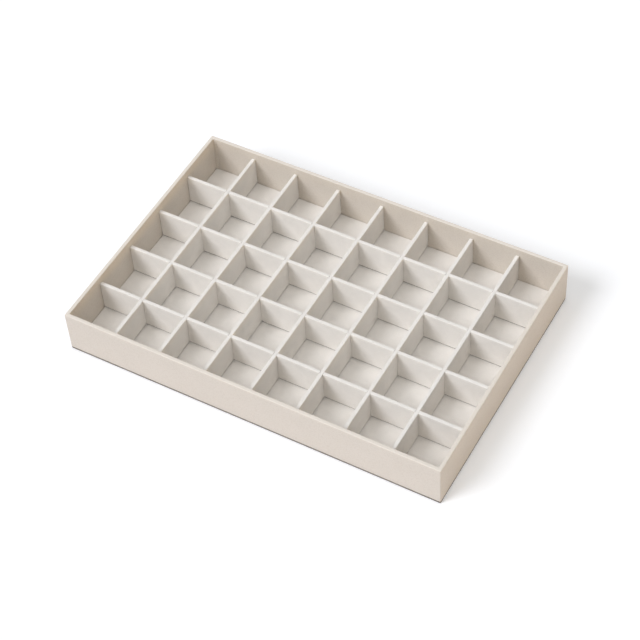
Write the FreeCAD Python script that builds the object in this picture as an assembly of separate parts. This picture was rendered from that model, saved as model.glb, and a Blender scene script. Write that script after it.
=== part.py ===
import FreeCAD, Part
import os

# Shallow compartment tray: a board box covered in leatherette,
# with a lift-out crate of interlocking suede covered dividers.
# Millimetres. X runs along the long side, Y to the back, Z up. The origin is the middle of the underside.

# Box, outside sizes
tray_length = 350.0
tray_depth = 238.0
tray_height = 43.0

# Boards of the box
wall_board_thickness = 2.5
base_board_thickness = 2.0
wall_edge_radius = 0.4
wall_corner_radius = 0.6

# Leatherette strip: outside, over the rim, down the inside and in under the bottom
leatherette_thickness = 0.5
bottom_edge_radius = 0.8
turn_under_width = 12.0
corner_tab_width = 2.5

# Felt under the box, set back from its outer faces
felt_thickness = 2.0
felt_inset = 0.2

# Floor panel of card with suede cloth on top
floor_card_thickness = 1.0
floor_lining_thickness = 0.5
floor_clearance = 0.2

# Divider crate
columns = 8
rows = 5
divider_height = 30.0
core_thickness = 2.2
core_edge_radius = 0.2
suede_thickness = 0.5
suede_foot_gap = 0.6
divider_end_clearance = 0.3
lap_clearance = 0.25

# Levels, from the table up
wrap_bottom = felt_thickness
board_bottom = wrap_bottom + leatherette_thickness
base_top = board_bottom + base_board_thickness
card_top = base_top + floor_card_thickness
floor_level = card_top + floor_lining_thickness
board_top = tray_height - leatherette_thickness

# Plan sizes of the box
wall_thickness = wall_board_thickness + 2 * leatherette_thickness
inner_length = tray_length - 2 * wall_thickness
inner_depth = tray_depth - 2 * wall_thickness
frame_length = tray_length - 2 * leatherette_thickness
frame_depth = tray_depth - 2 * leatherette_thickness
base_length = frame_length - 2 * wall_board_thickness
base_depth = frame_depth - 2 * wall_board_thickness
rim_radius = wall_edge_radius + leatherette_thickness
outer_corner_radius = wall_corner_radius + leatherette_thickness
felt_corner_radius = outer_corner_radius - felt_inset

# Sizes of the crate
divider_thickness = core_thickness + 2 * suede_thickness
fold_radius = core_edge_radius + suede_thickness
column_pitch = (inner_length + divider_thickness) / columns
row_pitch = (inner_depth + divider_thickness) / rows
lap_level = divider_height / 2
slot_width = divider_thickness + 2 * lap_clearance

# How far a cutting block runs past the faces that it cuts
overrun = 1.0


def block(length, depth, low, high):
    """A block centred on the Z axis, between two levels."""
    corner = FreeCAD.Vector(-length / 2, -depth / 2, low)
    return Part.makeBox(length, depth, high - low, corner)


def rounded_block(length, depth, low, high, radius):
    """A centred block with rounded upright corners."""
    solid = block(length, depth, low, high)
    upright = [edge for edge in solid.Edges if edge.BoundBox.ZLength > (high - low) / 2]
    return solid.makeFillet(radius, upright)


def ease_level(solid, radius, level):
    """Rounds every edge that lies at one level."""
    above = [edge for edge in solid.Edges if edge.BoundBox.ZMin > level - radius / 2]
    flat = [edge for edge in above if edge.BoundBox.ZMax < level + radius / 2]
    return solid.makeFillet(radius, flat)


def spread(count, pitch):
    """Places of a centred row of copies."""
    return [(index - (count - 1) / 2) * pitch for index in range(count)]


def base_panel():
    return block(base_length, base_depth, board_bottom, base_top)


def wall_frame():
    """The four wall boards as one ring, with eased top edges."""
    outside = rounded_block(frame_length, frame_depth, board_bottom, board_top, wall_corner_radius)
    ring = outside.cut(block(base_length, base_depth, board_bottom - overrun, board_top + overrun))
    return ease_level(ring, wall_edge_radius, board_top)


def wall_boards():
    """The ring parted into boards: front and back run full length, left and right butt between them."""
    frame = wall_frame()
    low = board_bottom - overrun
    high = board_top + overrun
    strip = block(frame_length + 2 * overrun, wall_board_thickness + overrun, low, high)
    strip_place = (base_depth + wall_board_thickness + overrun) / 2
    front = frame.common(strip.translated(FreeCAD.Vector(0, -strip_place, 0)))
    back = frame.common(strip.translated(FreeCAD.Vector(0, strip_place, 0)))
    side = block(wall_board_thickness + overrun, base_depth, low, high)
    side_place = (base_length + wall_board_thickness + overrun) / 2
    left = frame.common(side.translated(FreeCAD.Vector(-side_place, 0, 0)))
    right = frame.common(side.translated(FreeCAD.Vector(side_place, 0, 0)))
    return {"front": front, "back": back, "left": left, "right": right}


def corner_tab(side_x, side_y):
    """The turned end of a short side's leatherette, lapped onto the long side in an inner corner."""
    tab = Part.makeBox(corner_tab_width, leatherette_thickness, tray_height - rim_radius - base_top)
    low_x = -inner_length / 2 if side_x < 0 else inner_length / 2 - corner_tab_width
    low_y = -inner_depth / 2 if side_y < 0 else inner_depth / 2 - leatherette_thickness
    return tab.translated(FreeCAD.Vector(low_x, low_y, base_top))


def leatherette_wrap():
    """The covering: what is left of the covered box when its boards and its hollow are taken away."""
    outside = rounded_block(tray_length, tray_depth, wrap_bottom, tray_height, outer_corner_radius)
    outside = ease_level(outside, bottom_edge_radius, wrap_bottom)
    box = outside.cut(block(inner_length, inner_depth, base_top, tray_height + overrun))
    box = ease_level(box, rim_radius, tray_height)
    open_length = tray_length - 2 * turn_under_width
    open_depth = tray_depth - 2 * turn_under_width
    underside = block(open_length, open_depth, wrap_bottom - overrun, board_bottom)
    wrap = box.cut(wall_frame()).cut(base_panel()).cut(underside)
    for side_x in (-1, 1):
        for side_y in (-1, 1):
            wrap = wrap.fuse(corner_tab(side_x, side_y))
    return wrap.removeSplitter()


def underside_felt():
    """A felt sheet over the turned edge, thicker in the middle, where the edge leaves a space."""
    length = tray_length - 2 * felt_inset
    depth = tray_depth - 2 * felt_inset
    sheet = rounded_block(length, depth, 0, wrap_bottom, felt_corner_radius)
    middle = block(tray_length - 2 * turn_under_width, tray_depth - 2 * turn_under_width, 0, board_bottom)
    return sheet.fuse(middle).removeSplitter()


def floor_sheet(low, high):
    """A layer of the floor panel, clear of the walls and of the corner tabs on the long walls."""
    length = inner_length - 2 * floor_clearance
    depth = inner_depth - 2 * (leatherette_thickness + floor_clearance)
    return block(length, depth, low, high)


def ease_long_edges(plate, radius):
    """Rounds the two top edges that run along a plate."""
    box = plate.BoundBox
    top_edges = [edge for edge in plate.Edges if edge.BoundBox.ZMin > box.ZMax - radius / 2]
    long_edges = [edge for edge in top_edges if edge.BoundBox.XLength > box.XLength / 2]
    return plate.makeFillet(radius, long_edges)


def divider(length, slot_places, slots_open_up):
    """A divider along X with its foot at level 0: its card core, and the suede folded over the core."""
    core_top = divider_height - suede_thickness
    core = ease_long_edges(block(length, core_thickness, 0, core_top), core_edge_radius)
    folded = ease_long_edges(block(length, divider_thickness, suede_foot_gap, divider_height), fold_radius)
    cover = folded.cut(core)
    low = lap_level - lap_clearance if slots_open_up else -overrun
    high = divider_height + overrun if slots_open_up else lap_level + lap_clearance
    slot = block(slot_width, divider_thickness + 2 * overrun, low, high)
    for place in slot_places:
        cutter = slot.translated(FreeCAD.Vector(place, 0, 0))
        core = core.cut(cutter)
        cover = cover.cut(cutter)
    return core, cover


def divider_crate():
    """Long dividers slotted from above, and cross dividers slotted from below that drop into them."""
    column_places = spread(columns - 1, column_pitch)
    row_places = spread(rows - 1, row_pitch)
    crate = {}
    core, cover = divider(inner_length - 2 * divider_end_clearance, column_places, True)
    for number, place in enumerate(row_places, 1):
        seat = FreeCAD.Vector(0, place, floor_level)
        crate[f"long_divider_core_{number}"] = core.translated(seat)
        crate[f"long_divider_cover_{number}"] = cover.translated(seat)
    core, cover = divider(inner_depth - 2 * divider_end_clearance, row_places, False)
    quarter_turn = FreeCAD.Rotation(FreeCAD.Vector(0, 0, 1), 90)
    for number, place in enumerate(column_places, 1):
        seat = FreeCAD.Placement(FreeCAD.Vector(place, 0, floor_level), quarter_turn).toMatrix()
        crate[f"cross_divider_core_{number}"] = core.transformed(seat)
        crate[f"cross_divider_cover_{number}"] = cover.transformed(seat)
    return crate


def tray_parts():
    parts = {
        "base_board": base_panel(),
        "leatherette_wrap": leatherette_wrap(),
        "floor_card": floor_sheet(base_top, card_top),
        "floor_lining": floor_sheet(card_top, floor_level),
        "underside_felt": underside_felt(),
    }
    for side, board in wall_boards().items():
        parts[f"{side}_wall_board"] = board
    parts.update(divider_crate())
    return parts


os.makedirs("parts", exist_ok=True)
for node, shape in tray_parts().items():
    solid = shape.Solids[0] if len(shape.Solids) == 1 else shape
    print(node, "solids", len(shape.Solids), "valid", shape.isValid(), "volume %.1f" % shape.Volume)
    solid.exportStep(f"parts/{node}.step")
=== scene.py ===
import math

import bmesh
import bpy
from mathutils import Matrix, Vector, noise


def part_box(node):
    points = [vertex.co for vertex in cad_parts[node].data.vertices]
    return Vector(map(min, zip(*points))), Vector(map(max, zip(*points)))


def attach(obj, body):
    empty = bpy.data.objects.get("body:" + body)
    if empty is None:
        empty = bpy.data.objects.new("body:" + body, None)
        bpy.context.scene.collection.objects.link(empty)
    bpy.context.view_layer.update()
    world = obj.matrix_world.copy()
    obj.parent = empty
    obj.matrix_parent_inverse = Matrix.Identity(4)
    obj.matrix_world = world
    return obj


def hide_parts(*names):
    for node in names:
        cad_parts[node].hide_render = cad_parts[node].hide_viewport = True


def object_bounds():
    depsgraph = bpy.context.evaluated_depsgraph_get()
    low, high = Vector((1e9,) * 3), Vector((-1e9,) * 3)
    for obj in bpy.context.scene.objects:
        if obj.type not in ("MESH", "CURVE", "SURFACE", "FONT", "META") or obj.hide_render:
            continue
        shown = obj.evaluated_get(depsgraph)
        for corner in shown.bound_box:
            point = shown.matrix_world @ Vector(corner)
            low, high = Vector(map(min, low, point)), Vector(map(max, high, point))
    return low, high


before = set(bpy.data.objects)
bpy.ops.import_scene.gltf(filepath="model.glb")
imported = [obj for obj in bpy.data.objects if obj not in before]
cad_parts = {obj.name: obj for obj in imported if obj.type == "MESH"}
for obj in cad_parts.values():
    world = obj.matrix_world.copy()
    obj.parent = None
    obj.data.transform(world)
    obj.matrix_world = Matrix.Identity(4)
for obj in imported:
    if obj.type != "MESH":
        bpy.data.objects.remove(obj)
cad_low, cad_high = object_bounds()

# Shallow compartment tray: the looks of its leatherette, suede cloth, felt, fibreboard and greyboard.
# Metres. X runs along the long side, Y to the back, Z up. The origin is the middle of the underside.
MM = 0.001

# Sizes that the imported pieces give
wrap_low, wrap_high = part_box("leatherette_wrap")
board_low, board_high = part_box("right_wall_board")
base_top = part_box("base_board")[1].z
lining_low, lining_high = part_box("floor_lining")
felt_low, felt_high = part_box("underside_felt")
half_length = wrap_high.x
half_depth = wrap_high.y
leatherette_thickness = wrap_high.x - board_high.x
wall_thickness = board_high.x - board_low.x + 2 * leatherette_thickness

# Sizes of the covering that the boxes of the pieces don't give
corner_radius = 1.1 * MM
rim_radius = 0.9 * MM
inner_rim_radius = 0.5 * MM
bottom_edge_radius = 0.8 * MM
turn_under_width = 12 * MM
corner_tab_width = 2.5 * MM
corner_tab_taper = 2 * MM
covering_ripple = 0.07 * MM
covering_ripple_length = 30 * MM

# Sizes of the suede cloth on the dividers and on the floor
fold_radius = 0.5 * MM
foot_trim = 0.4 * MM
lap_clearance = 0.08 * MM
cloth_overhang = 0.45 * MM
suede_ripple = 0.06 * MM
fold_ripple_length = 8 * MM
floor_ripple_length = 9 * MM

# Sizes of the felt, whose corners follow the corners of the covering
felt_corner_radius = corner_radius - (half_length - felt_high.x)
felt_step_width = 0.4 * MM
felt_ragged_depth = 0.1 * MM
felt_ragged_length = 2.5 * MM

# How all the sheets are meshed and glued
mesh_step = 4 * MM
felt_border_step = 3 * MM
rim_step = 0.5 * MM
taper_step = 0.4 * MM
corner_steps = 8
hair = 0.001 * MM
glue_gap = 0.05 * MM
sharp_angle = math.radians(40)

# The camera of the photograph, solved on the tray's corners and divider crossings
photo_width = 640
focal_pixels = 1852.3
sensor_width = 36.0
camera_place = Vector((0.5436, -0.8583, 1.2068))
camera_azimuth = math.radians(32.274)
camera_elevation = math.radians(49.822)
camera_roll = math.radians(4.185)
centre_right_pixels = 0.9
centre_down_pixels = 0.2

# The light of the photograph, read from its shadows: levels at which a white face turned to the light is 1
toward_soft_box = Vector((-0.62, -0.90, 1.0)).normalized()
soft_box_width = math.radians(28)
soft_box_level = 0.56
soft_box_colour = "#F7F9FF"
fill_lamp_azimuth = camera_azimuth
fill_lamp_elevation = math.radians(58)
fill_lamp_width = math.radians(28)
fill_lamp_level = 0.06
surround_level = 0.355
overhead_level = 1.2
overhead_narrowness = 12.0
right_fill_level = 2.05
right_fill_height = 0.3
right_fill_colour = "#FFD27A"

# The table top: its reach, its colours to the light and to the camera, and its lift towards white
table_reach = 3.0
table_colour = "#DFDFE4"
table_seen_colour = "#FAFBFC"
table_lift = 0.14


def linear(hex_colour):
    """The linear colour of an sRGB hex value, with full alpha."""
    shares = [int(hex_colour[at:at + 2], 16) / 255 for at in (1, 3, 5)]
    return [s / 12.92 if s <= 0.04045 else ((s + 0.055) / 1.055) ** 2.4 for s in shares] + [1.0]


def add_node(tree, kind, settings=None, **sockets):
    """Adds a node, sets its properties, and fills its sockets with values or with links from other nodes."""
    node = tree.nodes.new(kind)
    for name, value in (settings or {}).items():
        setattr(node, name, value)
    for name, value in sockets.items():
        socket = node.inputs[int(name[1:])] if name[1:].isdigit() else node.inputs[name.replace("_", " ")]
        if isinstance(value, bpy.types.NodeSocket):
            tree.links.new(value, socket)
        else:
            socket.default_value = value
    return node


def new_material(name):
    """An empty material, its node tree, its output node and its object coordinates."""
    material = bpy.data.materials.new(name)
    material.use_nodes = True
    tree = material.node_tree
    tree.nodes.clear()
    output = tree.nodes.new("ShaderNodeOutputMaterial")
    place = tree.nodes.new("ShaderNodeTexCoord").outputs["Object"]
    return material, tree, output, place


def per_metre(size_mm):
    """The texture scale at which one cell is so many millimetres wide."""
    return 1 / (size_mm * MM)


def embossed_leatherette():
    """Polyurethane leatherette on a cloth back, embossed by a roller with a fine pebble grain.
    It has a soft satin gloss that the grain breaks up, and a warm beige that is even but for a faint mottle
    and a painted shade in the creases between the pebbles.
    Along the top of the rim it is painted paler, a painted highlight for the light that the rim catches.
    The real pebbles are about 0.6 mm wide; they are drawn at 1.1 mm so that they show."""
    material, tree, output, place = new_material("embossed_pu_leatherette")
    pebbles = add_node(tree, "ShaderNodeTexVoronoi", {"feature": "SMOOTH_F1"}, Vector=place,
                       Scale=per_metre(1.1), Smoothness=0.6, Randomness=0.9)
    pores = add_node(tree, "ShaderNodeTexNoise", Vector=place, Scale=per_metre(0.5), Detail=3.0)
    mottle = add_node(tree, "ShaderNodeTexNoise", Vector=place, Scale=per_metre(24), Detail=3.0,
                      Roughness=0.55)
    tone = add_node(tree, "ShaderNodeMix", {"data_type": "RGBA"}, _0=mottle.outputs["Fac"],
                    _6=linear("#DCD4C8"), _7=linear("#E3DACF"))
    # The creases between the pebbles are painted darker: a painted shade in the valleys of the grain.
    crease_shade = add_node(tree, "ShaderNodeMapRange", Value=pebbles.outputs["Distance"],
                      From_Min=0.35, From_Max=0.8, To_Min=0.0, To_Max=0.15)
    crease_shaded_tone = add_node(tree, "ShaderNodeMix", {"data_type": "RGBA"}, _0=crease_shade.outputs["Result"],
                       _6=tone.outputs[2], _7=linear("#B9A997"))
    # The top of the rim is painted paler towards its edge: a painted highlight for the light the rim catches.
    height_in_tray = add_node(tree, "ShaderNodeSeparateXYZ", Vector=place)
    painted_rim_highlight = add_node(tree, "ShaderNodeMapRange", {"interpolation_type": "SMOOTHSTEP"},
                         Value=height_in_tray.outputs["Z"], From_Min=wrap_high.z - 0.6 * MM,
                         From_Max=wrap_high.z - 0.1 * MM)
    colour = add_node(tree, "ShaderNodeMix", {"data_type": "RGBA"}, _0=painted_rim_highlight.outputs["Result"],
                      _6=crease_shaded_tone.outputs[2], _7=linear("#E7DFD4"))
    height = add_node(tree, "ShaderNodeMath", {"operation": "MULTIPLY_ADD"}, _0=pores.outputs["Fac"],
                      _1=-0.35, _2=pebbles.outputs["Distance"])
    bump = add_node(tree, "ShaderNodeBump", {"invert": True}, Strength=0.7, Distance=0.10 * MM,
                    Height=height.outputs["Value"])
    gloss = add_node(tree, "ShaderNodeMapRange", Value=pores.outputs["Fac"], From_Min=0.3, From_Max=0.7,
                     To_Min=0.46, To_Max=0.60)
    shader = add_node(tree, "ShaderNodeBsdfPrincipled", Base_Color=colour.outputs[2],
                      Roughness=gloss.outputs["Result"], IOR=1.5, Normal=bump.outputs["Normal"])
    tree.links.new(shader.outputs["BSDF"], output.inputs["Surface"])
    return material


def short_nap_suede():
    """Microfibre suede cloth with a brushed nap about 0.3 mm long, glued and folded over card.
    It is matt with a pale sheen at a low angle, and strokes of the nap lie lighter and darker in patches.
    The fibres are far too fine to show, so they are drawn 0.7 mm apart."""
    material, tree, output, place = new_material("short_nap_suede_cloth")
    strokes = add_node(tree, "ShaderNodeTexNoise", Vector=place, Scale=per_metre(13), Detail=4.0,
                       Roughness=0.6, Distortion=0.6)
    fibres = add_node(tree, "ShaderNodeTexNoise", Vector=place, Scale=per_metre(0.7), Detail=4.0,
                      Roughness=0.7)
    patch = add_node(tree, "ShaderNodeMapRange", Value=strokes.outputs["Fac"], From_Min=0.3, From_Max=0.7)
    tone = add_node(tree, "ShaderNodeMix", {"data_type": "RGBA"}, _0=patch.outputs["Result"],
                    _6=linear("#EDE9E3"), _7=linear("#F4F0EA"))
    fleck = add_node(tree, "ShaderNodeMapRange", Value=fibres.outputs["Fac"], From_Min=0.5, From_Max=0.75,
                     To_Min=0.0, To_Max=0.40)
    colour = add_node(tree, "ShaderNodeMix", {"data_type": "RGBA"}, _0=fleck.outputs["Result"],
                      _6=tone.outputs[2], _7=linear("#E2DCD3"))
    bump = add_node(tree, "ShaderNodeBump", Strength=0.6, Distance=0.12 * MM, Height=fibres.outputs["Fac"])
    shader = add_node(tree, "ShaderNodeBsdfPrincipled", Base_Color=colour.outputs[2], Roughness=0.95,
                      IOR=1.45, Specular_IOR_Level=0.2, Sheen_Weight=0.12, Sheen_Roughness=0.5,
                      Sheen_Tint=linear("#F4EFE8"), Normal=bump.outputs["Normal"])
    tree.links.new(shader.outputs["BSDF"], output.inputs["Surface"])
    return material


def pressed_felt():
    """Pressed wool felt in dark taupe: a tangle of short fibres, matt, flecked lighter and darker.
    The fibres are about 0.05 mm thick; the tangle is drawn 0.9 mm wide so that it shows."""
    material, tree, output, place = new_material("pressed_wool_felt")
    tangle = add_node(tree, "ShaderNodeTexNoise", Vector=place, Scale=per_metre(0.9), Detail=5.0,
                      Roughness=0.75, Distortion=1.5)
    clumps = add_node(tree, "ShaderNodeTexNoise", Vector=place, Scale=per_metre(6), Detail=2.0)
    fleck = add_node(tree, "ShaderNodeMath", {"operation": "MULTIPLY_ADD"}, _0=clumps.outputs["Fac"], _1=0.5,
                     _2=tangle.outputs["Fac"])
    share = add_node(tree, "ShaderNodeMapRange", Value=fleck.outputs["Value"], From_Min=0.5, From_Max=1.0)
    colour = add_node(tree, "ShaderNodeMix", {"data_type": "RGBA"}, _0=share.outputs["Result"],
                      _6=linear("#77716A"), _7=linear("#948D85"))
    bump = add_node(tree, "ShaderNodeBump", Strength=0.6, Distance=0.2 * MM, Height=tangle.outputs["Fac"])
    shader = add_node(tree, "ShaderNodeBsdfPrincipled", Base_Color=colour.outputs[2], Roughness=1.0,
                      IOR=1.45, Specular_IOR_Level=0.15, Sheen_Weight=0.2, Sheen_Roughness=0.6,
                      Sheen_Tint=linear("#B5ADA3"), Normal=bump.outputs["Normal"])
    tree.links.new(shader.outputs["BSDF"], output.inputs["Surface"])
    return material


def greyboard_with_painted_seam_shade():
    """Greyboard pressed from recycled paper: a dull grey brown with paler and darker flecks of pulp,
    1 to 2 mm long, that lie flat in the sheet, so they are drawn out along it. Its tone is painted darker
    than greyboard is, a painted shade for the seam where the card shows at the foot of the dividers."""
    material, tree, output, place = new_material("greyboard_with_painted_seam_shade")
    flat = add_node(tree, "ShaderNodeMapping", Vector=place, Scale=(1.0, 1.0, 2.5))
    pulp = add_node(tree, "ShaderNodeTexNoise", Vector=flat.outputs["Vector"], Scale=per_metre(1.6),
                    Detail=6.0, Roughness=0.7)
    share = add_node(tree, "ShaderNodeMapRange", Value=pulp.outputs["Fac"], From_Min=0.3, From_Max=0.7)
    # The card's tone is painted darker than greyboard is: a painted shade for the seam at the foot of the
    # dividers.
    colour = add_node(tree, "ShaderNodeMix", {"data_type": "RGBA"}, _0=share.outputs["Result"],
                      _6=linear("#625D56"), _7=linear("#837D75"))
    bump = add_node(tree, "ShaderNodeBump", Strength=0.3, Distance=0.06 * MM, Height=pulp.outputs["Fac"])
    shader = add_node(tree, "ShaderNodeBsdfPrincipled", Base_Color=colour.outputs[2], Roughness=0.9,
                      IOR=1.45, Specular_IOR_Level=0.3, Normal=bump.outputs["Normal"])
    tree.links.new(shader.outputs["BSDF"], output.inputs["Surface"])
    return material


def sanded_fibreboard():
    """Thin fibreboard, hot pressed and sanded: an even light brown with fibres about 1 mm long in it."""
    material, tree, output, place = new_material("sanded_fibreboard")
    fibres = add_node(tree, "ShaderNodeTexNoise", Vector=place, Scale=per_metre(1.0), Detail=6.0,
                      Roughness=0.75, Distortion=0.8)
    share = add_node(tree, "ShaderNodeMapRange", Value=fibres.outputs["Fac"], From_Min=0.3, From_Max=0.7)
    colour = add_node(tree, "ShaderNodeMix", {"data_type": "RGBA"}, _0=share.outputs["Result"],
                      _6=linear("#9C7B56"), _7=linear("#B9976E"))
    bump = add_node(tree, "ShaderNodeBump", Strength=0.25, Distance=0.05 * MM, Height=fibres.outputs["Fac"])
    shader = add_node(tree, "ShaderNodeBsdfPrincipled", Base_Color=colour.outputs[2], Roughness=0.75,
                      IOR=1.45, Normal=bump.outputs["Normal"])
    tree.links.new(shader.outputs["BSDF"], output.inputs["Surface"])
    return material


def evenly(start, end, step):
    """Values from start to end, both kept, about a step apart."""
    count = max(1, math.ceil(abs(end - start) / step))
    return [start + (end - start) * index / count for index in range(count + 1)]


def ripple(point, wavelength, depth):
    """A smooth unevenness from nothing to depth, the same at the same place every time."""
    return depth * (0.5 + 0.5 * noise.noise(point / wavelength))


def doubled_sheet(name, face, back, closed=False, kept=None):
    """A sheet with thickness: two grids of points, face and back, joined round every free edge.
    closed joins the last line of points to the first; kept says which cells of the grid are there."""
    lines, points = len(face), len(face[0])
    spans = lines if closed else lines - 1
    mesh = bmesh.new()
    made = {}

    def vertex(side, line, point):
        key = (side, line % lines, point)
        if key not in made:
            made[key] = mesh.verts.new((face, back)[side][key[1]][point])
        return made[key]

    def there(line, point):
        if closed:
            line %= lines
        elif not 0 <= line < spans:
            return False
        return 0 <= point < points - 1 and (kept is None or kept(line, point))

    for line in range(spans):
        for point in range(points - 1):
            if not there(line, point):
                continue
            ring = [(line, point), (line + 1, point), (line + 1, point + 1), (line, point + 1)]
            beside = [(line, point - 1), (line + 1, point), (line, point + 1), (line - 1, point)]
            mesh.faces.new([vertex(0, *corner) for corner in ring])
            mesh.faces.new([vertex(1, *corner) for corner in reversed(ring)])
            for index, neighbour in enumerate(beside):
                if not there(*neighbour):
                    first, second = ring[index], ring[(index + 1) % 4]
                    edge = [(0, *second), (0, *first), (1, *first), (1, *second)]
                    mesh.faces.new([vertex(*corner) for corner in edge])
    bmesh.ops.remove_doubles(mesh, verts=mesh.verts, dist=hair)
    return finished_piece(name, mesh)


def finished_piece(name, mesh):
    """Turns a built mesh into an object with outward faces, smooth but for its sharp edges."""
    bmesh.ops.recalc_face_normals(mesh, faces=mesh.faces)
    data = bpy.data.meshes.new(name)
    mesh.to_mesh(data)
    mesh.free()
    data.polygons.foreach_set("use_smooth", [True] * len(data.polygons))
    data.set_sharp_from_angle(angle=sharp_angle)
    piece = bpy.data.objects.new(name, data)
    bpy.context.scene.collection.objects.link(piece)
    return piece


def dress(piece, material, slot, body, *nodes):
    """Gives a piece its finish, sets it in place of its CAD nodes and on its body. Its slot is not used."""
    piece.data.materials.append(material)
    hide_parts(*nodes)
    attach(piece, body)


def quarter_round(centre, radius, start, steps=6):
    """Points and outward directions over a quarter turn, clockwise from a start angle in degrees."""
    turn = []
    for index in range(steps + 1):
        angle = math.radians(start - 90 * index / steps)
        direction = Vector((math.cos(angle), math.sin(angle)))
        turn.append((Vector(centre) + radius * direction, direction))
    return turn


def covering_section():
    """Across the covering, as inset from the outer faces and height: from its edge turned under the bottom,
    up the outside, over the rim and down the inside to the base board.
    Each point has its outward direction."""
    low, high = wrap_low.z, wrap_high.z
    edge, rim, inner_rim = bottom_edge_radius, rim_radius, inner_rim_radius
    down, out, up, inward = Vector((0, -1)), Vector((-1, 0)), Vector((0, 1)), Vector((1, 0))
    under = [(Vector((inset, low)), down) for inset in evenly(turn_under_width, edge, mesh_step)]
    heel = quarter_round((edge, low + edge), edge, 270)
    outside = [(Vector((0, z)), out) for z in evenly(low + edge, high - rim, mesh_step)]
    shoulder = quarter_round((rim, high - rim), rim, 180)
    rim_top = [(Vector((inset, high)), up) for inset in evenly(rim, wall_thickness - inner_rim, rim_step)]
    inner_shoulder = quarter_round((wall_thickness - inner_rim, high - inner_rim), inner_rim, 90)
    inside = [(Vector((wall_thickness, z)), inward) for z in evenly(high - inner_rim, base_top, mesh_step)]
    return under + heel[1:] + outside[1:] + shoulder[1:] + rim_top[1:] + inner_shoulder[1:] + inside[1:]


def box_round():
    """Stations anticlockwise round the box, each a function from an inset to a place in plan."""
    stations = []
    corners = [(-1, -1), (1, -1), (1, 1), (-1, 1)]
    for index, (side_x, side_y) in enumerate(corners):
        for step in range(corner_steps + 1):
            angle = math.radians(180 + 90 * index + 90 * step / corner_steps)
            stations.append(corner_station(side_x, side_y, angle))
        next_x, next_y = corners[(index + 1) % 4]
        reach = (half_length if next_x != side_x else half_depth) - corner_radius
        for along in evenly(-reach, reach, mesh_step)[1:-1]:
            stations.append(side_station(next_x - side_x, next_y - side_y, side_x, side_y, along))
    return stations


def corner_station(side_x, side_y, angle):
    """A station in a corner: round near the outer faces, and square further in."""
    centre = Vector((side_x * (half_length - corner_radius), side_y * (half_depth - corner_radius)))
    direction = Vector((math.cos(angle), math.sin(angle)))

    def place(inset):
        if inset < corner_radius:
            return centre + (corner_radius - inset) * direction
        return Vector((side_x * (half_length - inset), side_y * (half_depth - inset)))

    return place


def side_station(run_x, run_y, side_x, side_y, along):
    """A station along one side, kept within the inset corners. One of run_x and run_y is 0."""

    def place(inset):
        if run_x:
            reach = half_length - inset
            return Vector((max(-reach, min(reach, along * run_x / 2)), side_y * (half_depth - inset)))
        reach = half_depth - inset
        return Vector((side_x * (half_length - inset), max(-reach, min(reach, along * run_y / 2))))

    return place


def leatherette_covering(material):
    """The beige covering of the box, one strip all round, with a faint unevenness from gluing by hand."""
    section = covering_section()
    face, back = [], []
    for place in box_round():
        face_line, back_line = [], []
        for point, outward in section:
            plan = place(point.x)
            sag = ripple(Vector((plan.x, plan.y, point.y)), covering_ripple_length, covering_ripple)
            shown = point - sag * outward
            hidden = point - (leatherette_thickness - glue_gap) * outward
            face_line.append((*place(shown.x), shown.y))
            back_line.append((*place(hidden.x), hidden.y))
        face.append(face_line)
        back.append(back_line)
    covering = doubled_sheet("leatherette_covering", face, back, closed=True)
    dress(covering, material, "leatherette", "tray", "leatherette_wrap")


def corner_tab(material, side_x, side_y):
    """The end of a short side's leatherette, turned round the inner corner and glued onto the long side.
    Its free edge stands up as a second line beside the corner, and its top is pared away under the rim."""
    wall_x, wall_y = half_length - wall_thickness, half_depth - wall_thickness
    across = [0.0, 0.5, 0.8, 0.92, 1.0]
    proud = [1.0, 1.0, 1.0, 0.97, 0.85]
    top = wrap_high.z - inner_rim_radius
    levels = evenly(base_top, top - corner_tab_taper, mesh_step)
    levels += evenly(top - corner_tab_taper, top, taper_step)[1:]
    face, back = [], []
    for z in levels:
        pared = leatherette_thickness * min(1.0, (top - z) / corner_tab_taper)
        x = [side_x * (wall_x - share * corner_tab_width) for share in across]
        y = [side_y * (wall_y - share * pared) for share in proud]
        face.append([(x[at], y[at], z) for at in range(len(across))])
        back.append([(x[at], side_y * (wall_y + glue_gap), z) for at in range(len(across))])
    end_x = "left" if side_x < 0 else "right"
    end_y = "front" if side_y < 0 else "back"
    tab = doubled_sheet(f"corner_tab_{end_y}_{end_x}", face, back)
    tab.data.materials.append(material)
    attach(tab, "tray")


def laid_suede(material):
    """The suede cloth on the floor of the compartments, glued to its card, with a soft edge all round.
    It is cut a little larger than the card towards the front and back walls, but for the corner tabs."""
    soft_edge = [0.0, 0.15 * MM, 0.5 * MM, 1.2 * MM]
    drop = [0.15 * MM, 0.06 * MM, 0.02 * MM, 0.0]

    def overhang(x, y):
        beside_tab = lining_high.x - abs(x) < corner_tab_width
        on_card = abs(y) < lining_high.y - soft_edge[-1] - hair
        return 0.0 if beside_tab or on_card else math.copysign(cloth_overhang, y)

    def lines(low, high):
        inner = evenly(low + soft_edge[-1], high - soft_edge[-1], mesh_step)[1:-1]
        return [low + s for s in soft_edge] + inner + [high - s for s in reversed(soft_edge)]

    def fall(value, low, high):
        nearest = min(value - low, high - value)
        return max([d for s, d in zip(soft_edge, drop) if nearest <= s + hair], default=0.0)

    face, back = [], []
    for x in lines(lining_low.x, lining_high.x):
        face_line, back_line = [], []
        for y in lines(lining_low.y, lining_high.y):
            edge = max(fall(x, lining_low.x, lining_high.x), fall(y, lining_low.y, lining_high.y))
            dip = ripple(Vector((x, y, 0)), floor_ripple_length, suede_ripple)
            cut = y + overhang(x, y)
            face_line.append((x, cut, lining_high.z - edge - dip))
            back_line.append((x, cut, lining_low.z + glue_gap))
        face.append(face_line)
        back.append(back_line)
    lining = doubled_sheet("floor_suede", face, back)
    dress(lining, material, "suede_cloth", "tray", "floor_lining")


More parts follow.
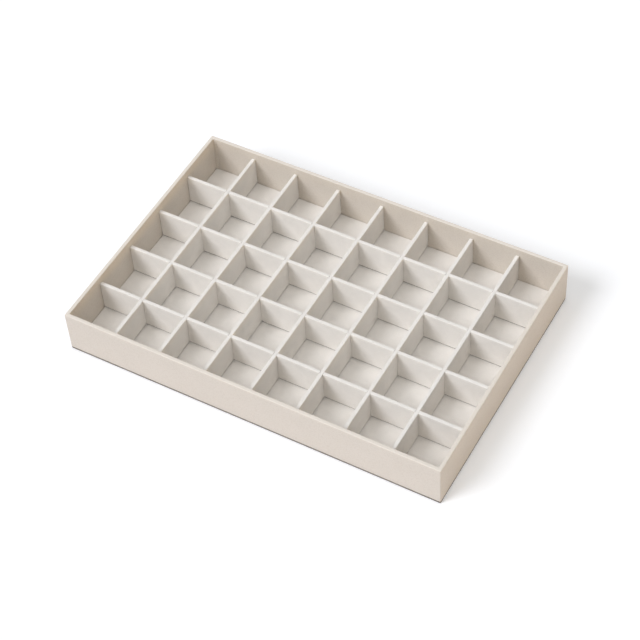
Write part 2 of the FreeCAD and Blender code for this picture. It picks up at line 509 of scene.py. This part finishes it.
def felt_pad(material):
    """The felt that the tray stands on, with a soft, slightly ragged cut edge.
    It is thicker in the middle, where the turned edge of the leatherette leaves a space."""
    opening = (half_length - turn_under_width, half_depth - turn_under_width)
    soft_edge = [0.0, 0.2 * MM, 0.5 * MM, felt_corner_radius]
    lift = [0.45 * MM, 0.2 * MM, 0.05 * MM, 0.0]

    def lines(reach, middle):
        inner = evenly(-(middle - felt_step_width), middle - felt_step_width, mesh_step)
        border = evenly(reach - soft_edge[-1], middle, felt_border_step)
        outer = [reach - s for s in soft_edge] + border[1:]
        return [-value for value in outer] + inner + list(reversed(outer))

    def rise(value, reach):
        nearest = reach - abs(value)
        return max([h for s, h in zip(soft_edge, lift) if nearest <= s + hair], default=0.0)

    def round_corner(x, y):
        straight = Vector((felt_high.x - felt_corner_radius, felt_high.y - felt_corner_radius))
        past = Vector((max(0.0, abs(x) - straight.x), max(0.0, abs(y) - straight.y)))
        if past.x == 0 or past.y == 0:
            return x, y
        past *= max(past) / past.length
        return math.copysign(straight.x + past.x, x), math.copysign(straight.y + past.y, y)

    face, back = [], []
    for x in lines(felt_high.x, opening[0]):
        face_line, back_line = [], []
        for y in lines(felt_high.y, opening[1]):
            edge = max(rise(x, felt_high.x), rise(y, felt_high.y))
            nick = ripple(Vector((x, y, 0)), felt_ragged_length, felt_ragged_depth) if edge else 0.0
            ragged = 1 - nick / felt_high.x
            thick = abs(x) < opening[0] and abs(y) < opening[1]
            top = felt_high.z if thick else wrap_low.z
            round_x, round_y = round_corner(x, y)
            face_line.append((round_x * ragged, round_y * ragged, felt_low.z + edge))
            back_line.append((round_x * ragged, round_y * ragged, top - glue_gap))
        face.append(face_line)
        back.append(back_line)
    pad = doubled_sheet("felt_pad", face, back)
    dress(pad, material, "felt", "tray", "underside_felt")


def fold_section(half_thickness, foot, lap, top):
    """Across a suede cover, as distance from the divider's middle plane and height: up the front,
    over the fold and down the back. Each point has its outward direction."""
    front, back = Vector((-1, 0)), Vector((1, 0))
    shoulder_level = top - fold_radius
    rise = evenly(foot, lap, mesh_step) + evenly(lap, shoulder_level, mesh_step)[1:]
    side = half_thickness - fold_radius
    up_front = [(Vector((-half_thickness, z)), front) for z in rise]
    front_round = quarter_round((-side, shoulder_level), fold_radius, 180)
    back_round = quarter_round((side, shoulder_level), fold_radius, 90)
    down_back = [(Vector((half_thickness, z)), back) for z in reversed(rise)]
    return up_front + front_round[1:] + back_round + down_back[1:]


def suede_cover(name, node, core, slot_nodes, body, material):
    """The suede folded over one divider's core, cut out where the crossing dividers lap into it.
    A divider along X has its slots open upwards, one along Y has them open downwards.
    The cloth stops a little above the foot, where the card then shows as a dark seam: shade in the gap, and a
    painted shade in the card's darkened colour."""
    low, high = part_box(node)
    core_low, core_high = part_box(core)
    along_x = high.x - low.x > high.y - low.y
    long_axis, thin_axis = (0, 1) if along_x else (1, 0)
    middle = (low[thin_axis] + high[thin_axis]) / 2
    half_thickness = (high[thin_axis] - low[thin_axis]) / 2
    suede = high[thin_axis] - core_high[thin_axis] - glue_gap
    half_slot = half_thickness + lap_clearance
    lap = (core_low.z + high.z) / 2 + (-lap_clearance if along_x else lap_clearance)
    crossings = []
    for crossing in slot_nodes:
        cross_low, cross_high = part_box(crossing)
        crossings.append((cross_low[long_axis] + cross_high[long_axis]) / 2)
    stops = [low[long_axis]]
    for place in sorted(crossings):
        stops += [place - half_slot, place + half_slot]
    stops.append(high[long_axis])
    stations, slotted = [stops[0]], []
    for index in range(len(stops) - 1):
        run = evenly(stops[index], stops[index + 1], mesh_step)
        stations += run[1:]
        slotted += [index % 2 == 1] * (len(run) - 1)
    section = fold_section(half_thickness, low.z + foot_trim, lap, high.z)
    face, back = [], []
    for along in stations:
        face_line, back_line = [], []
        for point, outward in section:
            dip = ripple(Vector((along, middle + point.x, point.y)), fold_ripple_length, suede_ripple)
            for line, depth in ((face_line, dip), (back_line, suede)):
                across, z = point - depth * outward
                plan = (along, middle + across) if along_x else (middle + across, along)
                line.append((*plan, z))
        face.append(face_line)
        back.append(back_line)

    def kept(line, at):
        above = (section[at][0].y + section[at + 1][0].y) / 2 > lap
        return not slotted[line] or above != along_x

    cover = doubled_sheet(name, face, back, kept=kept)
    dress(cover, material, "suede_cloth", body, node)


def straight_to_camera(tree):
    """Tells, for a stage material, whether the camera or a gloss looks straight at it."""
    seen = add_node(tree, "ShaderNodeLightPath")
    return add_node(tree, "ShaderNodeMath", {"operation": "MAXIMUM"}, _0=seen.outputs["Is Camera Ray"],
                    _1=seen.outputs["Is Glossy Ray"]).outputs["Value"]


def studio_floor():
    """A plain pale table top. Straight to the camera it is paper white and keeps the tray's shadow."""
    material, tree, output, _ = new_material("pale_table_paper")
    seen = straight_to_camera(tree)
    shade = add_node(tree, "ShaderNodeMix", {"data_type": "RGBA"}, _0=seen,
                     _6=linear(table_colour), _7=linear(table_seen_colour))
    paper = add_node(tree, "ShaderNodeBsdfDiffuse", Color=shade.outputs[2])
    lift = add_node(tree, "ShaderNodeMath", {"operation": "MULTIPLY"}, _0=seen, _1=table_lift)
    glow = add_node(tree, "ShaderNodeEmission", Strength=lift.outputs["Value"])
    both = add_node(tree, "ShaderNodeAddShader", _0=paper.outputs["BSDF"], _1=glow.outputs["Emission"])
    tree.links.new(both.outputs["Shader"], output.inputs["Surface"])
    mesh = bmesh.new()
    corners = [(-1, -1), (1, -1), (1, 1), (-1, 1)]
    mesh.faces.new([mesh.verts.new((table_reach * x, table_reach * y, cad_low.z)) for x, y in corners])
    floor = finished_piece("table", mesh)
    floor.data.materials.append(material)


def studio_surround():
    """A pale surround, brighter overhead, with a low warm glow on the right. The camera sees it white."""
    surround = bpy.data.worlds.new("pale_surround")
    surround.use_nodes = True
    tree = surround.node_tree
    tree.nodes.clear()
    direction = add_node(tree, "ShaderNodeTexCoord").outputs["Generated"]
    toward = add_node(tree, "ShaderNodeSeparateXYZ", Vector=direction)
    upward = add_node(tree, "ShaderNodeMath", {"operation": "MAXIMUM"}, _0=toward.outputs["Z"], _1=0.0)
    overhead = add_node(tree, "ShaderNodeMath", {"operation": "POWER"}, _0=upward.outputs["Value"],
                        _1=overhead_narrowness)
    level = add_node(tree, "ShaderNodeMath", {"operation": "MULTIPLY_ADD"}, _0=overhead.outputs["Value"],
                     _1=overhead_level, _2=surround_level)
    rightward = add_node(tree, "ShaderNodeMath", {"operation": "MAXIMUM"}, _0=toward.outputs["X"], _1=0.0)
    beside = add_node(tree, "ShaderNodeMapRange", {"interpolation_type": "SMOOTHSTEP"},
                      Value=toward.outputs["Z"], From_Max=right_fill_height,
                      To_Min=rightward.outputs["Value"], To_Max=0.0)
    warm = [right_fill_level * share for share in linear(right_fill_colour)[:3]]
    light = add_node(tree, "ShaderNodeVectorMath", {"operation": "MULTIPLY_ADD"}, _0=beside.outputs["Result"],
                     _1=warm, _2=level.outputs["Value"])
    shown = add_node(tree, "ShaderNodeMix", {"data_type": "RGBA"}, _0=straight_to_camera(tree),
                     _6=light.outputs["Vector"], _7=linear("#FFFFFF"))
    back = add_node(tree, "ShaderNodeBackground", Color=shown.outputs[2])
    add_node(tree, "ShaderNodeOutputWorld", Surface=back.outputs["Background"])
    bpy.context.scene.world = surround


def soft_box(name, toward, width, level, colour):
    """A large soft box so far off that its light is even all over the tray."""
    lamp = bpy.data.lights.new(name, "SUN")
    lamp.angle = width
    lamp.energy = level * math.pi
    lamp.color = linear(colour)[:3]
    light = bpy.data.objects.new(name, lamp)
    light.rotation_euler = toward.to_track_quat("Z", "Y").to_euler()
    bpy.context.scene.collection.objects.link(light)


def studio_lamps():
    """The main soft box on the front left, and a weak one above the camera that fills its shadows."""
    soft_box("soft_box", toward_soft_box, soft_box_width, soft_box_level, soft_box_colour)
    toward_fill_lamp = Vector((math.sin(fill_lamp_azimuth) * math.cos(fill_lamp_elevation),
                               -math.cos(fill_lamp_azimuth) * math.cos(fill_lamp_elevation),
                               math.sin(fill_lamp_elevation)))
    soft_box("fill_lamp", toward_fill_lamp, fill_lamp_width, fill_lamp_level, soft_box_colour)


def photo_camera():
    """The camera at the photograph's place: its line of sight, its level line across, and its small roll."""
    sight = Vector((-math.sin(camera_azimuth) * math.cos(camera_elevation),
                    math.cos(camera_azimuth) * math.cos(camera_elevation), -math.sin(camera_elevation)))
    level = Vector((math.cos(camera_azimuth), math.sin(camera_azimuth), 0))
    upright = level.cross(sight)
    right = math.cos(camera_roll) * level - math.sin(camera_roll) * upright
    above = right.cross(sight)
    lens = bpy.data.cameras.new("photo_camera")
    lens.sensor_width = sensor_width
    lens.lens = focal_pixels / photo_width * sensor_width
    lens.shift_x = -centre_right_pixels / photo_width
    lens.shift_y = centre_down_pixels / photo_width
    camera = bpy.data.objects.new("photo_camera", lens)
    axes = Matrix((right, above, -sight)).transposed().to_4x4()
    camera.matrix_world = Matrix.Translation(camera_place) @ axes
    bpy.context.scene.collection.objects.link(camera)
    bpy.context.scene.camera = camera


def finish_inner_pieces(fibreboard, greyboard):
    """The boards and cards that stay as they were cut get their own finish."""
    for name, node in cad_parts.items():
        finish = None
        if name.endswith("_board"):
            finish = fibreboard
        elif name == "floor_card" or "_core_" in name:
            finish = greyboard
        if finish:
            node.data.materials.clear()
            node.data.materials.append(finish)


def build_tray():
    leatherette = embossed_leatherette()
    suede = short_nap_suede()
    leatherette_covering(leatherette)
    for side_x in (-1, 1):
        for side_y in (-1, 1):
            corner_tab(leatherette, side_x, side_y)
    laid_suede(suede)
    felt_pad(pressed_felt())
    long_nodes = sorted(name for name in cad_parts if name.startswith("long_divider_cover_"))
    cross_nodes = sorted(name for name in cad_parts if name.startswith("cross_divider_cover_"))
    for node in long_nodes + cross_nodes:
        number = node.rsplit("_", 1)[1]
        is_long = node in long_nodes
        run = "long" if is_long else "cross"
        body = "long_dividers" if is_long else f"cross_divider_{number}"
        crossed_by = cross_nodes if is_long else long_nodes
        core = f"{run}_divider_core_{number}"
        suede_cover(f"{run}_divider_suede_{number}", node, core, crossed_by, body, suede)
    finish_inner_pieces(sanded_fibreboard(), greyboard_with_painted_seam_shade())


bpy.context.scene.view_settings.view_transform = "Standard"
build_tray()
studio_floor()
studio_surround()
studio_lamps()
photo_camera()
